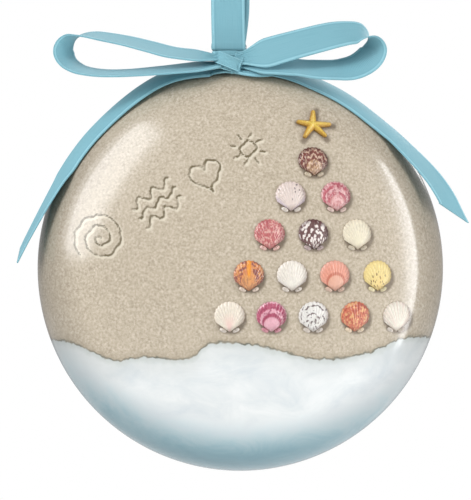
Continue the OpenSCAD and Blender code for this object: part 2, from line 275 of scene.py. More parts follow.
def printed(name, scratched):
    """The printed skin under its lacquer, with painted shade towards the rim. Attributes: place
    (x, z and radius in mm from the ball's centre), surf (mm above the water's edge), scratch and
    ridge_highlight (mm from a scratched line, and from the painted highlight beside it) and shadow
    (painted shadow, 1 beside the relief)."""
    s = Shader(name, Roughness=0.55, Specular_IOR_Level=0.3, Coat_Weight=1, Coat_Roughness=0.15,
               Coat_IOR=1.5)
    place = s.attribute("place", "Vector")
    sideways, up, radius = s.split(place)
    flat = s.stretch(s.object_place(), (1 / MM, 1 / MM, 1 / MM))
    grain = s.noise(flat, 2.1, 4, 0.66)
    speck = s.cells(flat, 2.6)
    patchy = s.noise(flat, 0.45, 3, 0.6)
    sand = s.ramp(grain, (0.3, srgb(158, 144, 124)), (0.5, srgb(186, 173, 152)),
                  (0.7, srgb(212, 200, 182)))
    sand = s.over(sand, srgb(192, 179, 158), s.step(patchy, 0.35, 0.7), 0.4)
    sand = s.over(sand, srgb(146, 131, 108), s.step(speck, 0.16, 0.06), 0.3)
    if scratched:
        # Painted shadow of the shells and the starfish on the sand.
        sand = s.over(sand, srgb(98, 82, 64), s.attribute("shadow"), 0.72)
        # Each scratched mark is a dark line, the painted shade of a groove, with a painted highlight
        # beside it to the lower right.
        rough = s.math("MULTIPLY_ADD", s.noise(flat, 2.2, 3), 0.5, -0.25)
        line = s.math("ADD", s.attribute("scratch"), rough)
        light = s.math("ADD", s.attribute("ridge_highlight"), rough)
        faint = s.step(s.noise(flat, 0.5, 2), 0.3, 0.55)
        sand = s.over(sand, srgb(226, 217, 197), s.step(light, 0.45, 0.12), 0.6)
        cut = s.times(s.step(line, 0.3, 0.1), s.math("MULTIPLY_ADD", faint, 0.4, 0.6))
        sand = s.mix(cut, sand, srgb(106, 94, 68))
    surf = s.math("MULTIPLY_ADD", s.noise(flat, 0.8, 3, 0.5), 1.3, -0.65)
    surf = s.math("ADD", s.attribute("surf"), surf)
    # Painted shade on the sand just above the water's edge.
    sand = s.over(sand, srgb(150, 136, 112), s.step(surf, 2.2, 0.2), 0.45)
    dark = s.math("MULTIPLY_ADD", s.noise(flat, 0.35, 2), 2.2, -0.35, clamp=True)
    wet = s.times(s.step(surf, 0.75, 0.3), dark)
    sand = s.mix(wet, sand, srgb(92, 93, 80))
    drift = s.noise(s.stretch(flat, (0.6, 1, 1)), 0.16, 5, 0.62, 0.8)
    foam = s.ramp(drift, (0.3, srgb(204, 211, 214)), (0.52, srgb(219, 223, 223)),
                  (0.7, srgb(230, 232, 231)))
    low = s.math("MULTIPLY_ADD", drift, 9, s.times(up, -0.5))
    low = s.math("MULTIPLY_ADD", sideways, -0.05, low)
    low = s.math("MULTIPLY_ADD", radius, 0.8, low)
    foam = s.mix(s.step(low, 40.5, 51), foam, srgb(144, 184, 195))
    foam = s.mix(s.step(low, 46, 56), foam, srgb(104, 152, 167))
    foam = s.over(foam, srgb(196, 199, 195), s.step(surf, -5, 0), 0.45)
    foam = s.over(foam, srgb(180, 186, 180), s.step(surf, -1.1, 0.1), 0.5)
    base = s.mix(s.step(surf, 0.05, 0.35), foam, sand)
    # Painted shade: the skin darkens towards the rim, less so near the top, under the ribbon.
    rim_shade_strength = s.math("MULTIPLY_ADD", s.step(up, 16, 30), -0.4, 0.54)
    base = s.mix(s.times(s.step(radius, 28.5, 38), rim_shade_strength), base,
                 srgb(120, 122, 124), "MULTIPLY")
    s.colour(base)
    s.bump(s.noise(flat, 0.35, 2), 0.00003, 0.4)
    return s.material


def metal(name, tone):
    """Drawn and plated metal, with fine turning lines and wear."""
    s = Shader(name, Metallic=1.0)
    place = s.object_place()
    lines = s.noise(s.stretch(place, (300, 300, 9000)), 1, 3)
    worn = s.noise(place, 900, 4, 0.6)
    s.colour(s.ramp(worn, (0.3, srgb(*(0.82 * c for c in tone))), (0.6, srgb(*tone))))
    s.roughness(s.math("MULTIPLY_ADD", lines, 0.25, 0.18))
    s.bump(lines, 0.00002, 0.6)
    return s.material


def moulded():
    """Moulded styrene of the two half shells, with a faint orange peel."""
    s = Shader("shell_plastic", Roughness=0.35, Subsurface_Weight=0.08)
    place = s.object_place()
    mottle = s.noise(place, 700, 3)
    s.colour(s.ramp(mottle, (0.3, srgb(214, 211, 204)), (0.7, srgb(228, 226, 220))))
    s.bump(s.noise(place, 1800, 2), 0.00002, 0.5)
    return s.material


# ---------------------------------------------------------------- meshes

def add_mesh(name, verts, faces, body, material, replaces, attributes):
    """A smooth piece that rides on a body. attributes are vectors or numbers at its points."""
    mesh = bpy.data.meshes.new(name)
    mesh.from_pydata([tuple(v) for v in verts], [], [tuple(f) for f in faces])
    for key, values in attributes.items():
        kind, field = ("FLOAT_VECTOR", "vector") if values.ndim == 2 else ("FLOAT", "value")
        layer = mesh.attributes.new(key, kind, "POINT")
        layer.data.foreach_set(field, values.astype(np.float32).ravel())
    mesh.update()
    mesh.shade_smooth()
    mesh.materials.append(material)
    piece = bpy.data.objects.new(name, mesh)
    bpy.context.collection.objects.link(piece)
    if body:
        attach(piece, body)
    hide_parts(*replaces)
    return piece


def grid(n, m):
    """Quads of a grid of n by m points, and the points round its edge."""
    at = np.arange(n * m).reshape(n, m)
    quads = np.stack([at[:-1, :-1], at[1:, :-1], at[1:, 1:], at[:-1, 1:]], axis=-1).reshape(-1, 4)
    return quads, np.concatenate([at[:-1, 0], at[-1, :-1], at[:0:-1, -1], at[0, :0:-1]])


def wall(a, b):
    """Quads between two rings of as many points."""
    return np.stack([a, b, np.roll(b, -1), np.roll(a, -1)], axis=-1)


def cone(ring, tip):
    """Triangles from a ring of points to one point."""
    return np.stack([ring, np.full_like(ring, tip), np.roll(ring, -1)], axis=-1)


def unit(v):
    v = np.asarray(v, float)
    return v / np.linalg.norm(v, axis=-1, keepdims=True)


def soft_step(value, low, high):
    f = np.clip((value - low) / (high - low), 0, 1)
    return f * f * (3 - 2 * f)


def smooth(points, steps):
    """Points on a smooth curve through points, with so many steps to each of its stretches."""
    p = np.asarray(points, float)
    first, last = 2 * p[0] - p[1], 2 * p[-1] - p[-2]
    q = np.vstack([first, p, last])
    t = np.linspace(0, 1, steps, endpoint=False)[:, None]
    out = []
    for a, b, c, d in zip(q, q[1:], q[2:], q[3:]):
        out.append(b + (c - a + (2 * a - 5 * b + 4 * c - d + (3 * b - a - 3 * c + d) * t) * t)
                   * t / 2)
    return np.vstack(out + [p[-1:]])


def length_of(line):
    return float(np.linalg.norm(np.diff(line, axis=0), axis=1).sum())


def along(line):
    """How far along the line each of its points is."""
    return np.concatenate([[0], np.cumsum(np.linalg.norm(np.diff(line, axis=0), axis=1))])


ACROSS = 28         # points across a ribbon
FOLDS = 7           # half waves that a pleat makes from the middle to an edge
HEM = 0.84          # where the woven edge starts, from 0 in the middle to 1


def strip(line, sides, wide, hollow, pleats, slant=0, sheared=False):
    """Closed mesh of a ribbon along line. sides holds the direction of its width, wide its width,
    hollow the curvature of its section, pleats the depth of the folds across it, and slant how far
    the last end's cut leans. A sheared one keeps sides as they are, and others turn them square to
    the line. It returns points, faces and the attribute strip."""
    n = len(line)
    sides = np.broadcast_to(np.asarray(sides, float), (n, 3))
    wide, hollow, pleats = (np.broadcast_to(v, n)[:, None] for v in (wide, hollow, pleats))
    t = unit(np.gradient(line, axis=0))
    w = unit(sides if sheared else sides - t * np.sum(sides * t, axis=1, keepdims=True))
    up = unit(np.cross(t, w))
    u = np.linspace(-1, 1, ACROSS)
    thick = RIBBON_T / 2 * (1 - 0.55 * np.abs(u) ** 16) * (1 + 0.25 * (np.abs(u) > HEM))
    x = u * wide / 2
    curve = np.maximum(hollow, 1e-3)
    flat = np.sin(x * curve) / curve
    rise = (np.cos(x * curve) - 1) / curve + pleats * np.sin(FOLDS * math.pi * u)
    far = along(line)
    lean = slant * np.clip(1 - (far[-1] - far) / (RIBBON_W * 0.8), 0, 1) ** 2
    middle = line[:, None] + w[:, None] * flat[..., None]
    middle = middle + t[:, None] * (lean[:, None] * x)[..., None]
    face = middle + up[:, None] * (rise + thick)[..., None]
    back = middle + up[:, None] * (rise - thick)[..., None]
    ring = np.concatenate([face, back[:, ::-1]], axis=1)
    mark = np.stack(np.broadcast_arrays(u, far[:, None], 0.0), axis=-1)
    mark = np.concatenate([mark, mark[:, ::-1]], axis=1)
    m = 2 * ACROSS
    at = np.arange(n * m).reshape(n, m)
    nxt = np.roll(at, -1, axis=1)
    faces = np.stack([at[:-1], nxt[:-1], nxt[1:], at[1:]], axis=-1).reshape(-1, 4)
    caps = []
    for i in range(ACROSS - 1):
        caps.append([at[0, i + 1], at[0, i], at[0, m - 1 - i], at[0, m - 2 - i]])
        caps.append([at[-1, i], at[-1, i + 1], at[-1, m - 2 - i], at[-1, m - 1 - i]])
    return ring.reshape(-1, 3), np.vstack([faces, caps]), mark.reshape(-1, 3)


def joined(parts):
    """Several (points, faces, marks) as one."""
    points, faces, marks, start = [], [], [], 0
    for p, f, k in parts:
        points.append(p)
        faces.append(f + start)
        marks.append(k)
        start += len(p)
    return np.vstack(points), np.vstack(faces), np.vstack(marks)


# ---------------------------------------------------------------- ribbons

# Routes as in the CAD model. The hanging loop's is measured from the origin, and goes on past
# its CAD solid's ends, forward of the eye and back under the eye's bar
LOOP_ROUTE = [
    (0, 0, -0.09105), (-0.0006, -0.0009, -0.0912), (-0.0015, -0.0021, -0.0913),
    (-0.0021, -0.00275, -0.0911), (-0.00215, -0.0027, -0.0903), (-0.0022, -0.0022, -0.0886),
    (-0.0023, -0.0013, -0.084), (-0.0023, -0.001, -0.078), (-0.002, -0.0012, -0.069),
    (-0.0016, -0.0018, -0.059), (-0.0013, -0.0026, -0.049), (-0.001, -0.0036, -0.039),
    (-0.0007, -0.0047, -0.029), (-0.0004, -0.0057, -0.019), (-0.0002, -0.0062, -0.012),
    (-0.0001, -0.0059, -0.007), (0, -0.0047, -0.003), (0, -0.0026, -0.0006), (0, 0, 0.0002),
    (0, 0.0026, -0.0006), (0, 0.0047, -0.003), (-0.0001, 0.0059, -0.007),
    (-0.0002, 0.0062, -0.012), (-0.0004, 0.0057, -0.019), (-0.0007, 0.0047, -0.029),
    (-0.001, 0.0036, -0.039), (-0.0013, 0.0026, -0.049), (-0.0011, 0.0018, -0.059),
    (-0.0012, 0.0012, -0.069), (-0.0014, 0.0009, -0.078), (-0.0015, 0.0011, -0.084),
    (-0.002, 0.0019, -0.0886), (-0.0023, 0.0023, -0.0903), (-0.0021, 0.0023, -0.0911),
    (-0.0013, 0.0017, -0.0913), (-0.0005, 0.0008, -0.0912), (0, 0, -0.09105)]
# The bow's are measured from the ball's centre. A band of the knot is its offset from KNOT_AT, then
# what wrap takes: direction, reach sideways and forward, width and degrees of turn. KNOT_RISE is
# the fold in front of the hanging ribbon's foot, and KNOT_FOOT the height of the turn round the eye
KNOT_AT = (-0.0019, -0.0068, 0.0386)
KNOT_BANDS = [
    ((-0.0001, 0.0001, -0.0001), (0.93, 0, -0.38), 0.0024, 0.0019, 0.0024, 118),
    ((-0.0008, 0.0002, -0.0007), (0.97, 0, -0.25), 0.0019, 0.0014, 0.0019, 120),
    ((0.0012, 0.0002, -0.0004), (0.35, 0, 0.94), 0.0016, 0.0016, 0.0017, 125),
    ((-0.0001, 0.0003, 0.0002), (1, 0, 0.1), 0.0026, 0.0012, 0.0022, 170)]
KNOT_RISE = [(-0.0022, -0.0054, 0.04065), (-0.0022, -0.0057, 0.04), (-0.0021, -0.006, 0.0392),
             (-0.0019, -0.0062, 0.0383)]
KNOT_FOOT = 0.03995
BAND_CURVE = 500
BAND_PLEAT = 0.00005
LEFT_ROUTE = [
    (-0.0034, -0.0068, 0.0392), (-0.006, -0.0068, 0.0395), (-0.009, -0.0068, 0.0398),
    (-0.013, -0.0068, 0.0403), (-0.017, -0.0068, 0.0413), (-0.021, -0.0068, 0.0423),
    (-0.025, -0.0068, 0.0431), (-0.0278, -0.0068, 0.0435), (-0.03, -0.0068, 0.0434),
    (-0.0316, -0.0068, 0.0428), (-0.0327, -0.0069, 0.0415), (-0.0329, -0.007, 0.0399),
    (-0.032, -0.0071, 0.0384), (-0.0303, -0.0072, 0.0373), (-0.0282, -0.0073, 0.0367),
    (-0.0254, -0.0074, 0.0364), (-0.022, -0.0075, 0.0364), (-0.0185, -0.0076, 0.0366),
    (-0.015, -0.0076, 0.0369), (-0.011, -0.0076, 0.0373), (-0.007, -0.0075, 0.0377),
    (-0.0034, -0.0072, 0.038)]
RIGHT_ROUTE = [
    (-0.0004, -0.0075, 0.0391), (0.002, -0.0077, 0.0395), (0.0046, -0.0079, 0.0401),
    (0.008, -0.0081, 0.0411), (0.012, -0.0082, 0.0422), (0.016, -0.0083, 0.0432),
    (0.0186, -0.0083, 0.0437), (0.0208, -0.0082, 0.0439), (0.0228, -0.0082, 0.0437),
    (0.0243, -0.0082, 0.0428), (0.0249, -0.0081, 0.0413), (0.0244, -0.0081, 0.0397),
    (0.023, -0.008, 0.0384), (0.0212, -0.008, 0.0375), (0.019, -0.0079, 0.0371),
    (0.0164, -0.0079, 0.037), (0.013, -0.0077, 0.0372), (0.0096, -0.0075, 0.0376),
    (0.006, -0.0072, 0.0379), (0.0026, -0.0068, 0.0381), (-0.0004, -0.0064, 0.0382)]
# Direction of a loop's width at its start, its bend and its end
LEFT_SIDES = [(0.3, 0.9, 0.38), (0.58, 0.8, 0.05), (0.3, 0.9, 0.38)]
RIGHT_SIDES = [(-0.7, 0.39, 0.6), (-0.58, 0.55, 0.45), (-0.6, 0.5, 0.33)]
LEFT_START = [(-0.0012, -0.0065, 0.0371), (-0.002, -0.0062, 0.0372), (-0.0036, -0.0058, 0.0374)]
LEFT_END = [(-0.0342, -0.0054, 0.016), (-0.0362, -0.0052, 0.0124), (-0.0382, -0.005, 0.0086),
            (-0.04, -0.0048, 0.0052), (-0.0414, -0.0047, 0.0024)]
RIGHT_START = [(-0.002, -0.0065, 0.0371), (-0.001, -0.0064, 0.0372), (0.0022, -0.0065, 0.0372)]
RIGHT_END = [(0.0316, -0.0055, 0.022), (0.034, -0.0056, 0.0194), (0.0363, -0.0057, 0.0166),
             (0.0384, -0.0059, 0.0134), (0.0399, -0.006, 0.0103)]
# A tail's angles on the rim, how far its slack stands off it by the angle, its turn beyond it and
# the lean of the cut at its end
LEFT_DRAPE = np.arange(98, 150.1, 5.2)
RIGHT_DRAPE = np.arange(82, 39.9, -4.2)
LEFT_LIFT = ((98, 0.00025), (108, 0.00095), (114, 0.00095), (126, 0.00025), (132, 0))
RIGHT_LIFT = ((40, 0.0006), (46, 0.00015), (50, 0), (68, 0), (76, 0.0004))
LEFT_TURN = 0.35
RIGHT_TURN = -0.075
LEFT_SLANT = 0.4
RIGHT_SLANT = 0.9
STEPS = 8           # points to each stretch of a route


def gathered(line, least, full_after, both_ends=True):
    """Width of a ribbon along a line, and how far open it is. It opens from least, a share of the
    full width, at its start and, with both_ends, at its end, and is full after so many metres."""
    near = along(line)
    if both_ends:
        near = np.minimum(near, near[-1] - near)
    f = soft_step(near, 0, full_after)
    return RIBBON_W * (least + (1 - least) * f), f


def turned(sides, f):
    """Direction between three: at f = 0, at 1/2 and at 1."""
    s = np.asarray(sides, float)
    k = (f >= 0.5).astype(int)
    t = (2 * f - k)[:, None]
    return s[k] * (1 - t) + s[k + 1] * t


def round_axis(r, y, a):
    """Points at angles a round the ball's axis, r from it and at one y."""
    return np.stack([r * np.cos(a), np.full_like(a, y), r * np.sin(a)], axis=-1)


def centred(points):
    return np.asarray(points, float) + np.array(CENTRE)


def drape_at(degrees, lift):
    """Where a tail lies over the rim, at angles round the ball from +X."""
    r = RIM_C + DRAPE_R * math.cos(DRAPE_A) + np.interp(degrees, *zip(*lift))
    return round_axis(r, -DRAPE_R * math.sin(DRAPE_A), np.radians(degrees))


def drape_side(degrees):
    """Direction of a tail's width there."""
    return round_axis(math.sin(DRAPE_A), math.cos(DRAPE_A), np.radians(degrees))


def make_hanging_ribbon(material):
    line = smooth(LOOP_ROUTE, STEPS)
    wide, f = gathered(line, least=0.14, full_after=0.0034)
    far = along(line)
    cup = 14 * np.sin(far / far[-1] * 5 * math.pi)
    points, faces, marks = strip(line, (1, 0, 0), wide, cup, 0.0003 * (1 - f) ** 1.5, sheared=True)
    piece = add_mesh("hanging_loop", points, faces, None, material, ("hanging_ribbon",),
                     {"strip": marks})
    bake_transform(piece)


def make_bow_loop(name, node, route, sides, material):
    line = smooth(centred(route), STEPS)
    f = np.linspace(0, 1, len(line))
    wide, g = gathered(line, least=0.4, full_after=0.0058)
    far = along(line) / length_of(line)
    cup = 25 * np.sin(far * math.pi) * np.sin(far * 2.5 * math.pi)
    points, faces, marks = strip(line, turned(sides, f), wide, cup, 0.00015 * (1 - g))
    piece = add_mesh(name, points, faces, "cap", material, (node,), {"strip": marks})


def make_tail(name, node, start, angles, lift, end, turn, across, slant, material):
    route = np.vstack([start, drape_at(angles, lift), end])
    last = drape_side(angles[-1:])
    sides = np.vstack([drape_side(np.full(len(start), 90.0)), drape_side(angles)]
                      + [unit(last + np.array([[0, turn * (i + 1), 0]])) for i in range(len(end))])
    line = smooth(centred(route), STEPS)
    side = smooth(across * sides, STEPS)
    wide, g = gathered(line, least=0.5, full_after=0.0055, both_ends=False)
    held = len(start) + len(angles)
    i = np.arange(len(line)) / STEPS
    hollow = np.clip((held + 2 - i) / 4, 0, 1) / DRAPE_R
    points, faces, marks = strip(line, side, wide, hollow, 0.00012 * (1 - g), slant)
    piece = add_mesh(name, points, faces, "cap", material, (node,), {"strip": marks})


def wrap(centre, run, half, deep, wide, turn):
    """A band of ribbon wound round the knot: run is its direction at the front, half and deep its
    reach sideways and forward, and turn how far it goes round to either side, in degrees."""
    run, front = unit(run), np.array((0, -1, 0))
    a = np.radians(np.linspace(-turn, turn, 61))[:, None]
    line = centre + run * half * np.sin(a) + front * deep * np.cos(a)
    return strip(line, np.cross(run, front), wide, BAND_CURVE, BAND_PLEAT)


def make_knot(material):
    """The wraps of the knot, and the ribbon's turn round the foot of the eye."""
    c = centred(KNOT_AT)
    parts = [wrap(c + offset, *band) for offset, *band in KNOT_BANDS]
    rise = smooth(centred(KNOT_RISE), 6)
    parts.append(strip(rise, (1, 0, 0), np.linspace(0.0064, 0.0046, len(rise)), 90,
                       np.linspace(0.00001, 0.00007, len(rise))))
    foot_z = CENTRE.z + KNOT_FOOT
    a = np.radians(np.linspace(-62, 242, 60))
    ring = np.stack([0.0018 * np.cos(a), 0.0018 * np.sin(a), np.full_like(a, foot_z)], axis=-1)
    left = smooth([c + (-0.0008, 0.0008, 0), (-0.0021, -0.0036, foot_z - 0.0004), ring[-1]], 12)
    right = smooth([ring[0], (0.0004, -0.0035, foot_z - 0.0004), c + (0.0012, 0.0008, 0)], 12)
    line = np.vstack([right[:0:-1], ring, left[-2::-1]])
    parts.append(strip(line, (0, 0.05, 1), 0.0008, 0, 0.0001))
    points, faces, marks = joined(parts)
    return add_mesh("bow_knot_wraps", points, faces, "cap", material, ("bow_knot",),
                    {"strip": marks})


# ---------------------------------------------------------------- ball

# Height of the water's edge on the sand, in mm from the ball's centre, as (x, z)
SURF_LINE = [(-39, -13.4), (-34.5, -13.7), (-30.5, -14.5), (-25.5, -16.8), (-22.6, -17.6),
             (-19.8, -16.9), (-15, -16.9), (-11.3, -17.2), (-8.5, -16.5), (-6.3, -14.5),
             (-3.4, -14.0), (2.8, -14.5), (8.4, -15.9), (14.1, -17.1), (19.7, -16.8),
             (25.4, -15.4), (30, -13.4), (35, -13.2), (39, -13.6)]


def profile(run, depth=0):
    """Radius and y of the ball's section, so far along it from its front pole and so deep."""
    on_dome = run <= DOME_RUN
    a = np.where(on_dome, run / DOME_R, 0)
    b = MEET_A + np.where(on_dome, 0, run - DOME_RUN) / RIM_R
    rho = np.where(on_dome, (DOME_R - depth) * np.sin(a), RIM_C + (RIM_R - depth) * np.sin(b))
    y = np.where(on_dome, DOME_R - HALF_DEPTH - (DOME_R - depth) * np.cos(a),
                 -(RIM_R - depth) * np.cos(b))
    return rho, y


def doodles():
    """Marks scratched in the sand, in mm from the ball's centre: a spiral, waves, a heart, a sun."""
    lean = math.radians(36)
    def placed(x, z, centre, turn=0.0):
        a = lean + turn
        x, z = np.asarray(x), np.asarray(z)
        wobble = 0.12 * np.sin(2.1 * x + 1.3 * z) + 0.08 * np.sin(5.3 * z - 1.7 * x)
        return np.stack([centre[0] + x * math.cos(a) - z * math.sin(a) + wobble,
                         centre[1] + x * math.sin(a) + z * math.cos(a) - wobble], axis=-1)
    marks = []
    t = np.linspace(0.6, 5 * math.pi, 90)
    marks.append(placed(0.32 * t * np.cos(t), 0.32 * t * np.sin(t), (-26, 5.6)))
    x = np.linspace(-4.4, 4.4, 60)
    for shift in (2.1, 0, -2.1):
        marks.append(placed(x, shift + 0.7 * np.sin(x * 2.0), (-15.4, 12.2)))
    t = np.linspace(0, 2 * math.pi, 60)
    heart_x = 16 * np.sin(t) ** 3
    heart_z = 13 * np.cos(t) - 5 * np.cos(2 * t) - 2 * np.cos(3 * t) - np.cos(4 * t)
    marks.append(placed(0.19 * heart_x, 0.19 * heart_z, (-6.4, 17.4), -0.25))
    sun = (1.4, 22.2)
    marks.append(placed(1.5 * np.cos(t), 1.4 * np.sin(t), sun))
    for ray in np.arange(0, 2 * math.pi, math.pi / 4):
        r = np.linspace(2.1, 3.1, 6)
        marks.append(placed(r * math.cos(ray), r * math.sin(ray), sun))
    return marks


def distance_to(points, lines):
    """Distance from each point to the nearest of the lines, up to FAR."""
    best = np.full(len(points), FAR)
    for line in lines:
        for a, b in zip(line[:-1], line[1:]):
            d = b - a
            t = np.clip(((points - a) @ d) / (d @ d), 0, 1)
            gap = np.linalg.norm(points - a - t[:, None] * d, axis=1)
            best = np.minimum(best, gap)
    return best


def shadows(flat):
    """Painted shadow of the shells and the starfish on the sand: how dark it is at points in mm."""
    dark = np.zeros(len(flat))
    for row, col in SHELLS:
        x, z = shell_at(row, col)
        gap = np.hypot(flat[:, 0] - x / MM - 0.34, flat[:, 1] - z / MM + 0.34)
        dark = np.maximum(dark, 1 - soft_step(gap, 2.6, 3.1))
    shift = np.array((0.3, -0.35))
    for degrees, length in STAR_ARMS:
        a = math.radians(degrees)
        tip = np.array((math.cos(a), math.sin(a))) * length / MM
        base = np.array(STAR_AT) / MM
        gap = distance_to(flat - base - shift, [np.array([(0, 0), tip])])
        dark = np.maximum(dark, 1 - soft_step(gap, 0.3, 0.85))
    return dark


# The rings of a skin's inner sheet, by their way along the section
INNER_RUNS = np.concatenate([np.linspace(RUN, DOME_RUN, 5), np.linspace(DOME_RUN, 0, 6)[1:-1]])
FAR = 9.0           # mm, beyond the reach of any mark


def ball_half(name, node, facing, cells, material, scratched):
    """Printed skin of one half: a fine outer sheet on a square grid, closed by an inner one."""
    g = np.linspace(-1, 1, cells + 1)
    u, v = np.meshgrid(g, g, indexing="ij")
    x, z = u * np.sqrt(1 - v * v / 2), v * np.sqrt(1 - u * u / 2)
    s = np.hypot(x, z)
    rho, y = profile(s * RUN)
    scale = np.divide(rho, s, out=np.zeros_like(s), where=s > 0)
    outer = np.stack([x * scale, y, z * scale], axis=-1).reshape(-1, 3)
    quads, edge = grid(cells + 1, cells + 1)
    turn = np.arctan2(outer[edge, 2], outer[edge, 0])
    points, rings = [outer], [edge]
    for k, run in enumerate(INNER_RUNS):
        r, depth = profile(np.array([run]), SKIN)
        rings.append(np.arange(len(edge)) + len(outer) + k * len(edge))
        points.append(round_axis(r, depth[0], turn))
    pole = len(outer) + len(INNER_RUNS) * len(edge)
    points.append(np.array([[0, SKIN - HALF_DEPTH, 0]]))
    quads = np.vstack([quads] + [wall(a, b) for a, b in zip(rings, rings[1:])])
    points = np.vstack(points)
    if facing > 0:
        points[:, 1] *= -1
    near = np.hypot(points[:, 0], points[:, 1]) < NECK_R - 0.0001
    near &= points[:, 2] > 0
    quads = quads[~near[quads].all(axis=1)]
    faces = [list(f) for f in quads] + [list(f) for f in cone(rings[-1], pole)]
    if facing > 0:
        faces = [f[::-1] for f in faces]
    flat = points[:, [0, 2]] / MM
    place = np.column_stack([flat, np.hypot(*flat.T)])
    knots = smooth(SURF_LINE, 6)
    surf = flat[:, 1] - np.interp(flat[:, 0], knots[:, 0], knots[:, 1])
    attributes = {"place": place, "surf": surf}
    if scratched:
        lines = doodles()
        region = (flat[:, 0] < 8) & (flat[:, 1] > -3)
        for key, offset in (("scratch", (0, 0)), ("ridge_highlight", (0.32, -0.32))):
            field = np.full(len(flat), FAR)
            field[region] = distance_to(flat[region] - np.array(offset), lines)
            attributes[key] = field
        attributes["shadow"] = shadows(flat)
    points = points + np.array(CENTRE)
    return add_mesh(name, points, faces, "ball", material, (node,), attributes)


# ---------------------------------------------------------------- relief

# A tree of five rows of scallops with a starfish on top, placed from the ball's centre
SCALLOP_W = 5.9 * MM
SCALLOP_H = 1.0 * MM
TREE_X = 13.5 * MM
ROW_Z = np.array((19.7, 13.25, 6.2, -1.45, -9)) * MM
ROW_PITCH = np.array((8.4, 8.4, 8.1, 7.95, 7.75)) * MM
STAR_AT = (13.4 * MM, 26.6 * MM)
FAN_HALF = math.radians(54)
FAN_R = 0.49        # radius of the fan's outline, in widths
HINGE = 0.47        # the hinge's distance below the middle, in widths
RIBS = 14
SUNK = 0.08 * MM    # how far the relief goes on under the dome


def placed_on_dome(points, x, z):
    """Points moved to (x, z) on the front dome, with +Z outward and +Y up the ball."""
    lift = math.asin(z / DOME_R)
    turn = math.asin(x / DOME_R / math.cos(lift))
    place = np.array(Matrix.Translation(CENTRE + Vector((0, DOME_R - HALF_DEPTH, 0)))
                     @ Matrix.Rotation(turn, 4, "Z") @ Matrix.Rotation(math.pi / 2 - lift, 4, "X")
                     @ Matrix.Translation((0, 0, DOME_R)))
    return points @ place[:3, :3].T + place[:3, 3]


def sag(x, y):
    """How far the dome has fallen at (x, y) from the point where it is touched."""
    return -(x * x + y * y) / (2 * DOME_R)


def fan_reach(t):
    """Length of the scallop's ray at t, from -1 to 1 across the fan."""
    a = t * FAN_HALF
    reach = HINGE * np.cos(a) + np.sqrt(FAN_R ** 2 - (HINGE * np.sin(a)) ** 2)
    rounding = 1 - 0.1 * np.abs(t) ** 7
    scalloped = 1 + 0.012 * np.cos(2 * math.pi * RIBS * (t + 1) / 2)
    return SCALLOP_W * reach * rounding * scalloped


def closed_sheet(x, y, h):
    """Closed mesh under a grid of heights h at (x, y), down to just below the dome."""
    top = np.stack([x, y, np.maximum(h, 0) + sag(x, y)], axis=-1).reshape(-1, 3)
    quads, edge = grid(*x.shape)
    base = top[edge].copy()
    base[:, 2] = sag(base[:, 0], base[:, 1]) - SUNK
    foot = np.arange(len(edge)) + len(top)
    points = np.vstack([top, base, base.mean(axis=0)[None]])
    faces = [list(f) for f in np.vstack([quads, wall(edge, foot)])]
    return points, faces + [list(f) for f in cone(foot, len(points) - 1)]


def scallop_mesh():
    """(points, faces, fan) of a scallop's fan and of its two ears, in its own frame. The attribute
    fan holds (t across, s outward, 1 on an ear)."""
    t, s = np.meshgrid(np.linspace(-1, 1, 99), np.linspace(0, 1, 27) ** 0.85, indexing="ij")
    s = 0.02 + 0.98 * s
    r = fan_reach(t) * s
    a = t * FAN_HALF
    x, y = r * np.sin(a), r * np.cos(a) - HINGE * SCALLOP_W
    crown = np.sin(math.pi * s ** 0.72)
    across = np.clip(1 - np.abs(t) ** 2.6, 0, 1) ** 0.7
    h = 0.24 + 0.76 * crown * across
    ribs = np.abs(np.cos(math.pi * RIBS * (t + 1) / 2)) ** 0.8
    h = h + 0.08 * (ribs - 0.6) * np.clip(s * 1.3, 0, 1)
    h = h + 0.02 * np.sin(38 * s) * s
    h = h * (1 - 0.55 * np.clip((s - 0.9) / 0.1, 0, 1) ** 2)
    points, faces = closed_sheet(x, y, h * SCALLOP_H)
    fan = np.stack([t, s, np.zeros_like(t)], axis=-1).reshape(-1, 3)
    foot = np.tile((0.0, 1.0, 0.0), (len(points) - t.size, 1))
    sets = [(points, faces, np.vstack([fan, foot]))]
    k, q = np.meshgrid(np.linspace(0, 2 * math.pi, 25)[:-1], np.linspace(0.05, 1, 7), indexing="ij")
    for side in (-1, 1):
        ex = 0.115 * SCALLOP_W * q * np.sign(np.cos(k)) * np.abs(np.cos(k)) ** 0.8
        ey = 0.065 * SCALLOP_W * q * np.sign(np.sin(k)) * np.abs(np.sin(k)) ** 0.8
        lean = side * math.radians(24)
        px = side * 0.2 * SCALLOP_W + ex * math.cos(lean) - ey * math.sin(lean)
        py = -0.41 * SCALLOP_W + ex * math.sin(lean) + ey * math.cos(lean)
        eh = SCALLOP_H * (0.2 + 0.28 * (1 - q ** 2)) * (1 + 0.1 * np.cos(5 * k))
        points, faces = lobe_sheet(px, py, eh)
        sets.append((points, faces, np.tile((0.0, 0.3, 1.0), (len(points), 1))))
    return sets


def lobe_sheet(x, y, h):
    """Closed mesh of a round lobe: rows go round it and columns go outward."""
    n, m = x.shape
    top = np.stack([x, y, h + sag(x, y)], axis=-1).reshape(-1, 3)
    at = np.arange(n * m).reshape(n, m)
    nxt = np.roll(at, -1, axis=0)
    quads = np.stack([at[:, :-1], at[:, 1:], nxt[:, 1:], nxt[:, :-1]], axis=-1).reshape(-1, 4)
    rim = at[:, -1]
    base = top[rim].copy()
    base[:, 2] = sag(base[:, 0], base[:, 1]) - SUNK
    foot = np.arange(n) + len(top)
    points = np.vstack([top, base, top[at[:, 0]].mean(axis=0)[None], base.mean(axis=0)[None]])
    crown, under = len(points) - 2, len(points) - 1
    caps = [[at[i, 0], nxt[i, 0], crown] for i in range(n)]
    caps += [[foot[(i + 1) % n], foot[i], under] for i in range(n)]
    return points, [list(f) for f in np.vstack([quads, wall(rim, foot)])] + caps


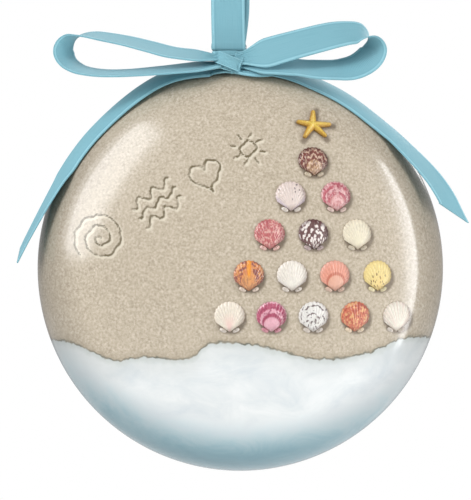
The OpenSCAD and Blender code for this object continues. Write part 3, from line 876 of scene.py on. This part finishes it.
# Marks that are cut out of noise: its stretch, scale, detail, roughness, distortion and threshold
NOISY = {
    "mottled": ((4, 8, 1), 1.2, 3, 0.6, 0.4, (0.5, 0.56)),
    "blotches": ((5, 9, 1), 1, 1, 0.4, 0, (0.52, 0.57)),
    "dashes": ((4.4, 12, 1), 1, 1, 0.4, 0, (0.58, 0.63)),
    "rays": ((11, 0.9, 1), 1, 2, 0.5, 0, (0.5, 0.57)),
}


def shell_paint(name, base, ear, marks):
    """A scallop's colours. marks are drawn over base in turn, each (kind, colour, strength)."""
    s = Shader(name, Roughness=0.42, Specular_IOR_Level=0.4, Subsurface_Weight=0.05,
               Coat_Weight=0.6, Coat_Roughness=0.2)
    fan = s.attribute("fan", "Vector")
    across, out, is_ear = s.split(fan)
    seed = (sum(ord(c) * (i + 1) for i, c in enumerate(name)) % 97) * 1.7
    at = s.put("CombineXYZ", {0: across, 1: out, 2: seed}).outputs[0]
    fine = s.noise(s.stretch(at, (9, 7, 1)), 1.5, 3, 0.6)
    base = srgb(*base)
    paler = tuple(min(1, 1.25 * c + 0.02) for c in base[:3]) + (1,)
    colour = s.over(base, paler, s.step(fine, 0.4, 0.7), 0.5)
    side = s.math("ABSOLUTE", across)
    turn = s.times(s.math("ADD", across, 1.0), math.pi * RIBS / 2)
    rib = s.math("ABSOLUTE", s.math("COSINE", turn))
    for kind, tint, strength in marks:
        if kind in NOISY:
            stretch, scale, detail, rough, distortion, cut = NOISY[kind]
            noise = s.noise(s.stretch(at, stretch), scale, detail, rough, distortion)
            area = s.step(noise, *cut)
        elif kind == "chevrons":
            zigzag = s.math("PINGPONG", s.times(across, 2.4), 0.5)
            wave = s.math("MULTIPLY_ADD", zigzag, 1.1, s.times(out, 4.2))
            wave = s.math("MULTIPLY_ADD", fine, 0.9, wave)
            area = s.step(s.math("PINGPONG", wave, 0.5), 0.24, 0.32)
        elif kind == "net":
            area = s.step(s.cells(s.stretch(at, (4.2, 7.6, 1)), 1.1), 0.4, 0.52)
        elif kind == "bands":
            wave = s.math("MULTIPLY_ADD", fine, 0.5, s.times(out, 3.2))
            area = s.step(s.math("PINGPONG", wave, 0.5), 0.24, 0.34)
        elif kind == "specks":
            spots = s.cells(s.stretch(at, (4, 4.6, 1)), 1.2)
            area = s.times(s.step(spots, 0.24, 0.15), s.step(side, 0.85, 0.5))
        elif kind == "low_specks":
            spots = s.cells(s.stretch(at, (4.4, 5.4, 1)), 1.2)
            area = s.times(s.step(spots, 0.36, 0.26), s.step(out, 0.75, 0.5))
        elif kind == "centre_stripe":
            area = s.times(s.step(side, 0.12, 0.06), s.step(out, 0.3, 0.5))
        elif kind == "base_fan":
            area = s.step(out, 0.56, 0.48)
        elif kind == "ring":
            area = s.times(s.step(out, 0.5, 0.54), s.step(out, 0.66, 0.6))
        elif kind == "blush":
            area = s.times(s.step(out, 0.75, 0.2), s.step(side, 0.8, 0.1))
        # edge and sides tint the rim and both sides of the fan; where the tint is darker than the
        # fan it is painted shade of the curved shell, elsewhere the shell's own colour.
        elif kind == "edge":
            area = s.step(out, 0.84, 0.97)
        elif kind == "sides":
            area = s.step(side, 0.7, 1.0)
        else:
            raise ValueError(kind)
        colour = s.over(colour, srgb(*tint), area, strength)
    # Painted shade in the grooves between the ribs.
    groove_shade = s.times(s.step(rib, 0.45, 0.05), s.step(out, 0.25, 0.6))
    colour = s.mix(s.times(groove_shade, 0.22), colour, srgb(170, 150, 140), "MULTIPLY")
    colour = s.mix(s.step(is_ear, 0.4, 0.6), colour, srgb(*ear))
    colour = s.mix(s.attribute("shade"), colour, srgb(120, 98, 88), "MULTIPLY")
    s.colour(colour)
    s.bump(fine, 0.00004, 0.5)
    return s.material


# Each shell's colours in sRGB: its fan's, its ears' and its marks, drawn in turn
WHITE = (216, 205, 192)
SHELLS = {
    (1, 1): ((122, 66, 56), (200, 184, 158),
             [("base_fan", (204, 168, 124), 0.6), ("chevrons", (222, 190, 166), 0.85),
              ("mottled", (96, 48, 40), 0.6), ("edge", (80, 40, 34), 0.6),
              ("sides", (90, 48, 40), 0.5)]),
    (2, 1): ((218, 200, 190), WHITE,
             [("specks", (104, 90, 92), 0.8), ("sides", (190, 178, 204), 0.5)]),
    (2, 2): ((186, 100, 108), (214, 188, 176),
             [("bands", (228, 182, 180), 0.85), ("mottled", (156, 66, 80), 0.7),
              ("base_fan", (226, 178, 170), 0.4), ("blotches", (232, 190, 186), 0.5)]),
    (3, 1): ((188, 106, 104), (218, 176, 164),
             [("mottled", (226, 178, 166), 0.8), ("blotches", (168, 78, 84), 0.5)]),
    (3, 2): ((232, 220, 212), (180, 160, 156),
             [("net", (92, 50, 48), 0.95), ("edge", (86, 44, 46), 0.6)]),
    (3, 3): ((225, 213, 188), (204, 192, 170), [("blush", (226, 214, 182), 0.6)]),
    (4, 1): ((204, 128, 82), (218, 200, 182),
             [("mottled", (224, 160, 98), 0.7), ("blotches", (128, 72, 74), 0.8),
              ("centre_stripe", (238, 152, 48), 0.95), ("base_fan", (218, 156, 100), 0.5),
              ("sides", (150, 88, 76), 0.4)]),
    (4, 2): ((226, 217, 204), WHITE, [("sides", (200, 192, 190), 0.4)]),
    (4, 3): ((222, 150, 128), (214, 184, 164),
             [("ring", (192, 104, 80), 0.8), ("base_fan", (224, 172, 148), 0.8),
              ("edge", (232, 176, 158), 0.5)]),
    (4, 4): ((230, 206, 138), (228, 216, 174),
             [("low_specks", (112, 76, 40), 0.95), ("blush", (222, 184, 104), 0.5)]),
    (5, 1): ((226, 214, 196), WHITE, [("blush", (236, 192, 182), 0.7)]),
    (5, 2): ((180, 86, 110), (206, 140, 150),
             [("bands", (228, 174, 184), 0.85), ("mottled", (150, 56, 84), 0.7),
              ("base_fan", (230, 176, 186), 0.8), ("ring", (158, 62, 88), 0.5)]),
    (5, 3): ((222, 217, 210), WHITE,
             [("dashes", (92, 70, 70), 0.9), ("low_specks", (140, 122, 114), 0.6)]),
    (5, 4): ((200, 112, 84), (234, 214, 184),
             [("mottled", (230, 180, 126), 0.75), ("blotches", (168, 72, 60), 0.65)]),
    (5, 5): ((224, 216, 200), WHITE,
             [("rays", (230, 206, 194), 0.5), ("sides", (206, 198, 188), 0.4)]),
}


def shell_at(row, col):
    return TREE_X + (col - 1 - (row - 1) / 2) * ROW_PITCH[row - 1], ROW_Z[row - 1]


def own_shade(points):
    """The darker lower right side and rim of a shell, away from the light."""
    x, y = points[:, :2].T / (0.48 * SCALLOP_W)
    return np.clip(0.36 * x - 0.42 * y + 0.8 * (x * x + y * y) - 0.48, 0, 1)


def make_scallops():
    lobes = scallop_mesh()
    for (row, col), (base, ear, marks) in SHELLS.items():
        points, faces, fans, shades, start = [], [], [], [], 0
        for p, f, k in lobes:
            shades.append(own_shade(p) * (1 - 0.75 * k[:, 2]))
            points.append(placed_on_dome(p, *shell_at(row, col)))
            faces += [[i + start for i in face] for face in f]
            fans.append(k)
            start += len(p)
        name = f"scallop_{row}_{col}"
        add_mesh("relief_" + name, np.vstack(points), faces, "ball",
                 shell_paint("paint_" + name, base, ear, marks), (name,),
                 {"fan": np.vstack(fans), "shade": np.concatenate(shades)})


# Direction in degrees and length of each arm of the starfish
STAR_ARMS = [(82, 3.05 * MM), (167, 3.1 * MM), (2, 3.6 * MM), (234, 3.25 * MM), (315, 3.4 * MM)]


def starfish_material():
    s = Shader("starfish_paint", Roughness=0.45, Specular_IOR_Level=0.4, Coat_Weight=0.5,
               Coat_Roughness=0.25, Subsurface_Weight=0.05)
    place = s.object_place()
    height = s.attribute("ridge_height")
    grain = s.noise(place, 2600, 3, 0.6)
    bumps = s.cells(place, 3400)
    # The colour darkens from the crests of the arms down to their edges: painted shade.
    base = s.ramp(s.math("MULTIPLY_ADD", grain, 0.4, s.times(height, 0.75)),
                  (0.12, srgb(138, 96, 26)), (0.45, srgb(196, 148, 44)),
                  (0.85, srgb(226, 192, 86)))
    s.colour(s.over(base, srgb(252, 232, 140), s.step(bumps, 0.3, 0.1), 0.35))
    s.bump(bumps, 0.00008, 0.6)
    return s.material


def make_starfish():
    """Five tapering arms and a low middle, on a fine polar grid."""
    turns = np.radians(np.linspace(0, 360, 361)[:-1])
    reach = np.zeros_like(turns)
    tries = np.linspace(0.3 * MM, 3.7 * MM, 260)

    def edge_gap(x, y):
        """How deep in the star's outline, in metres, and how deep as a share of the half width."""
        deep = np.full(np.shape(x), -9.0)
        share = np.full(np.shape(x), 0.0)
        for degrees, length in STAR_ARMS:
            a = math.radians(degrees)
            core = length - 0.4 * MM
            p = np.clip(x * math.cos(a) + y * math.sin(a), 0, core)
            d = np.hypot(x - p * math.cos(a), y - p * math.sin(a))
            w = (0.78 - 0.36 * (p / core)) * MM
            deep = np.maximum(deep, w - d)
            share = np.maximum(share, (1 - d / w) * (0.62 + 0.38 * (1 - p / core)))
        return deep, share

    for i, a in enumerate(turns):
        inside = edge_gap(tries * math.cos(a), tries * math.sin(a))[0] > 0
        reach[i] = tries[inside].max()
    soft = (np.roll(reach, 1) + 2 * reach + np.roll(reach, -1)) / 4
    a, q = np.meshgrid(turns, np.linspace(0, 1, 22)[1:], indexing="ij")
    r = soft[:, None] * q
    x, y = r * np.cos(a), r * np.sin(a)
    share = np.clip(edge_gap(x, y)[1], 0, 1)
    top = 0.95 * MM * (0.16 + 0.84 * np.sqrt(share))
    top = top + 0.03 * MM * np.sin(r / MM * 9) * share
    points, faces = lobe_sheet(x, y, top)
    height = np.zeros(len(points))
    height[:share.size] = share.ravel()
    height[-2] = 1
    add_mesh("relief_starfish", placed_on_dome(points, *STAR_AT), faces, "ball",
             starfish_material(), ("starfish",), {"ridge_height": height})


# ---------------------------------------------------------------- the object

def repaint(node, material):
    """Gives a CAD node's own object a better material."""
    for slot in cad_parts[node].material_slots:
        slot.material = material


def make_floor():
    bpy.ops.mesh.primitive_plane_add(size=3, location=(0, 0, CENTRE.z - FLOOR_DROP))
    floor = bpy.context.object
    floor.name = "floor"
    s = Shader("floor_paper", Roughness=0.9, Emission_Strength=FLOOR_GLOW,
               Emission_Color=(1, 1, 1, 1))
    s.colour(s.ramp(s.noise(s.object_place(), 30, 2), (0.3, srgb(226, 226, 224)),
                    (0.7, srgb(232, 232, 230))))
    floor.data.materials.append(s.material)


make_camera()
ribbon = satin()
make_hanging_ribbon(ribbon)
knot = make_knot(ribbon)
make_bow_loop("bow_left_loop", "bow_loop_left", LEFT_ROUTE, LEFT_SIDES, ribbon)
make_bow_loop("bow_right_loop", "bow_loop_right", RIGHT_ROUTE, RIGHT_SIDES, ribbon)
make_tail("left_tail", "ribbon_tail_left", LEFT_START, LEFT_DRAPE, LEFT_LIFT, LEFT_END,
          LEFT_TURN, -1, LEFT_SLANT, ribbon)
make_tail("right_tail", "ribbon_tail_right", RIGHT_START, RIGHT_DRAPE, RIGHT_LIFT, RIGHT_END,
          RIGHT_TURN, 1, RIGHT_SLANT, ribbon)
ball_half("printed_front", "front_print", -1, 280, printed("front_art", True), True)
ball_half("printed_rear", "rear_print", 1, 140, printed("rear_art", False), False)
make_scallops()
make_starfish()
plastic = moulded()
repaint("front_shell", plastic)
repaint("rear_shell", plastic)
repaint("cap", metal("cap_metal", (206, 206, 210)))
repaint("eye_wire", metal("wire_metal", (214, 214, 216)))
make_floor()
make_lights()
make_world()
